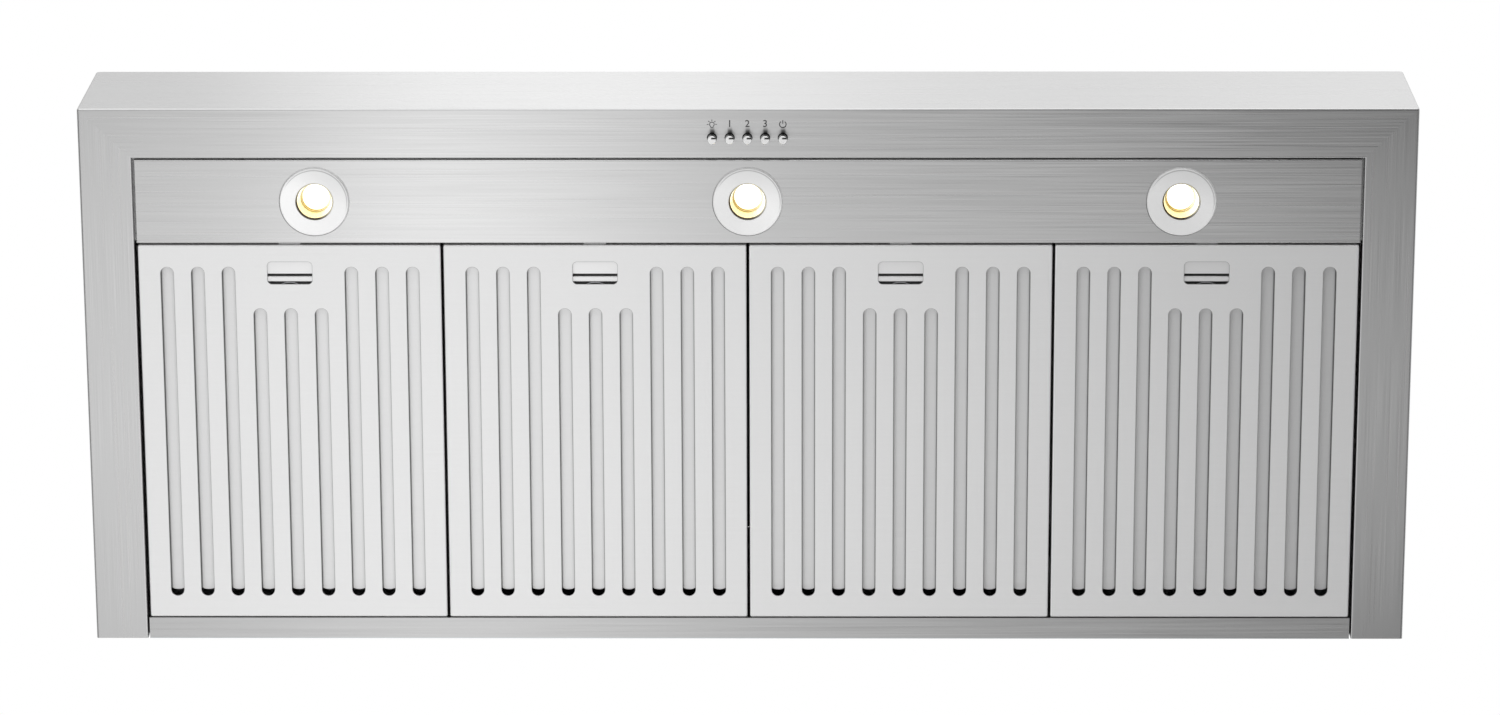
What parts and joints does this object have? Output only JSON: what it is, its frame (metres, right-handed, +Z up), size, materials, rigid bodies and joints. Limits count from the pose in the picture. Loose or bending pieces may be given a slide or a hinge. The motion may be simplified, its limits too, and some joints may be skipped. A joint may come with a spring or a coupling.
{
  "type": "wall mount range hood",
  "caption": "Wide stainless wall hood with a hipped canopy and chimney, hinged slotted baffle filters with finger latches, round lights, push buttons and a double-inlet blower.",
  "frame": {"origin": "on the wall, at the middle of the hood's lower back edge", "axes": "+X to the right as seen by someone facing the hood, +Y into the wall, +Z up"},
  "size_m": [1.2192, 0.509, 0.91],
  "materials": {
    "stainless_sheet": "fine brushed stainless steel, the grain running along the wall",
    "latch_steel": "satin stainless steel",
    "spring_steel": "bare spring strip",
    "galvanised_sheet": "galvanised sheet with a faint spangle",
    "button_chrome": "polished chrome plating",
    "black_plastic": "matte moulded black plastic",
    "bezel_metal": "bright satin metal ring",
    "reflector": "bright faceted reflector",
    "heat_sink": "plain die-cast aluminium",
    "blower_paint": "satin black paint",
    "wheel_metal": "plain rolled aluminium",
    "shaft_steel": "ground steel",
    "motor_paint": "dark grey painted can",
    "terminal_plastic": "cream moulded plastic",
    "driver_plastic": "white moulded plastic",
    "capacitor_can": "drawn aluminium can"
  },
  "bodies": {
    "hood": {"canopy_shell": "stainless_sheet", "back_panel": "galvanised_sheet", "back_rail": "stainless_sheet", "light_panel": "stainless_sheet", "switch_block": "black_plastic", "switch_bracket": "galvanised_sheet", "light_1_bezel": "bezel_metal", "light_1_lamp": "reflector", "light_1_holder": "heat_sink", "light_2_bezel": "bezel_metal", "light_2_lamp": "reflector", "light_2_holder": "heat_sink", "light_3_bezel": "bezel_metal", "light_3_lamp": "reflector", "light_3_holder": "heat_sink", "blower_deck": "galvanised_sheet", "blower_housing": "blower_paint", "inlet_ring_left": "blower_paint", "inlet_ring_right": "blower_paint", "motor": "motor_paint", "motor_cradle": "blower_paint", "damper_collar": "galvanised_sheet", "control_box": "galvanised_sheet", "control_box_cover": "galvanised_sheet", "terminal_block": "terminal_plastic", "led_driver": "driver_plastic", "run_capacitor": "capacitor_can", "cable_gland": "black_plastic", "chimney_lower": "stainless_sheet", "chimney_feet": "galvanised_sheet"},
    "filter_1": {"filter_1_face": "stainless_sheet", "filter_1_baffle": "stainless_sheet", "filter_1_spring": "spring_steel"},
    "latch_1": {"filter_1_latch": "latch_steel"},
    "filter_2": {"filter_2_face": "stainless_sheet", "filter_2_baffle": "stainless_sheet", "filter_2_spring": "spring_steel"},
    "latch_2": {"filter_2_latch": "latch_steel"},
    "filter_3": {"filter_3_face": "stainless_sheet", "filter_3_baffle": "stainless_sheet", "filter_3_spring": "spring_steel"},
    "latch_3": {"filter_3_latch": "latch_steel"},
    "filter_4": {"filter_4_face": "stainless_sheet", "filter_4_baffle": "stainless_sheet", "filter_4_spring": "spring_steel"},
    "latch_4": {"filter_4_latch": "latch_steel"},
    "button_1": {"button_1": "button_chrome"},
    "button_2": {"button_2": "button_chrome"},
    "button_3": {"button_3": "button_chrome"},
    "button_4": {"button_4": "button_chrome"},
    "button_5": {"button_5": "button_chrome"},
    "wheel": {"impeller": "wheel_metal", "motor_shaft": "shaft_steel"},
    "flap_left": {"damper_flap_left": "galvanised_sheet"},
    "flap_right": {"damper_flap_right": "galvanised_sheet"},
    "chimney_slider": {"chimney_upper": "stainless_sheet", "chimney_bracket": "galvanised_sheet"}
  },
  "joints": [
    {"name": "filter_1_hinge", "type": "hinge", "parent": "hood", "child": "filter_1", "pos_m": [-0.4197, -0.0226, 0.002], "axis": [1, 0, 0], "range_deg": [0, 60]},
    {"name": "filter_1_latch_slide", "type": "slide", "parent": "filter_1", "child": "latch_1", "axis": [0, 1, 0], "range_m": [0, 0.004], "stiffness_N_per_m": 400, "springref_m": -0.004, "deforming": ["filter_1_spring"]},
    {"name": "filter_2_hinge", "type": "hinge", "parent": "hood", "child": "filter_2", "pos_m": [-0.1399, -0.0226, 0.002], "axis": [1, 0, 0], "range_deg": [0, 60]},
    {"name": "filter_2_latch_slide", "type": "slide", "parent": "filter_2", "child": "latch_2", "axis": [0, 1, 0], "range_m": [0, 0.004], "stiffness_N_per_m": 400, "springref_m": -0.004, "deforming": ["filter_2_spring"]},
    {"name": "filter_3_hinge", "type": "hinge", "parent": "hood", "child": "filter_3", "pos_m": [0.1399, -0.0226, 0.002], "axis": [1, 0, 0], "range_deg": [0, 60]},
    {"name": "filter_3_latch_slide", "type": "slide", "parent": "filter_3", "child": "latch_3", "axis": [0, 1, 0], "range_m": [0, 0.004], "stiffness_N_per_m": 400, "springref_m": -0.004, "deforming": ["filter_3_spring"]},
    {"name": "filter_4_hinge", "type": "hinge", "parent": "hood", "child": "filter_4", "pos_m": [0.4197, -0.0226, 0.002], "axis": [1, 0, 0], "range_deg": [0, 60]},
    {"name": "filter_4_latch_slide", "type": "slide", "parent": "filter_4", "child": "latch_4", "axis": [0, 1, 0], "range_m": [0, 0.004], "stiffness_N_per_m": 400, "springref_m": -0.004, "deforming": ["filter_4_spring"]},
    {"name": "button_1_push", "type": "slide", "parent": "hood", "child": "button_1", "axis": [0, 0, 1], "range_m": [0, 0.003], "stiffness_N_per_m": 300, "springref_m": -0.002},
    {"name": "button_2_push", "type": "slide", "parent": "hood", "child": "button_2", "axis": [0, 0, 1], "range_m": [0, 0.003], "stiffness_N_per_m": 300, "springref_m": -0.002},
    {"name": "button_3_push", "type": "slide", "parent": "hood", "child": "button_3", "axis": [0, 0, 1], "range_m": [0, 0.003], "stiffness_N_per_m": 300, "springref_m": -0.002},
    {"name": "button_4_push", "type": "slide", "parent": "hood", "child": "button_4", "axis": [0, 0, 1], "range_m": [0, 0.003], "stiffness_N_per_m": 300, "springref_m": -0.002},
    {"name": "button_5_push", "type": "slide", "parent": "hood", "child": "button_5", "axis": [0, 0, 1], "range_m": [0, 0.003], "stiffness_N_per_m": 300, "springref_m": -0.002},
    {"name": "wheel_spin", "type": "hinge", "parent": "hood", "child": "wheel", "pos_m": [0, -0.205, 0.1636], "axis": [1, 0, 0], "continuous": true},
    {"name": "flap_left_hinge", "type": "hinge", "parent": "hood", "child": "flap_left", "pos_m": [-0.0022, -0.14, 0.3446], "axis": [0, 1, 0], "range_deg": [0, 75]},
    {"name": "flap_right_hinge", "type": "hinge", "parent": "hood", "child": "flap_right", "pos_m": [0.0022, -0.14, 0.3446], "axis": [0, -1, 0], "range_deg": [0, 75]},
    {"name": "chimney_slide", "type": "slide", "parent": "hood", "child": "chimney_slider", "axis": [0, 0, 1], "range_m": [0, 0.3]}
  ]
}
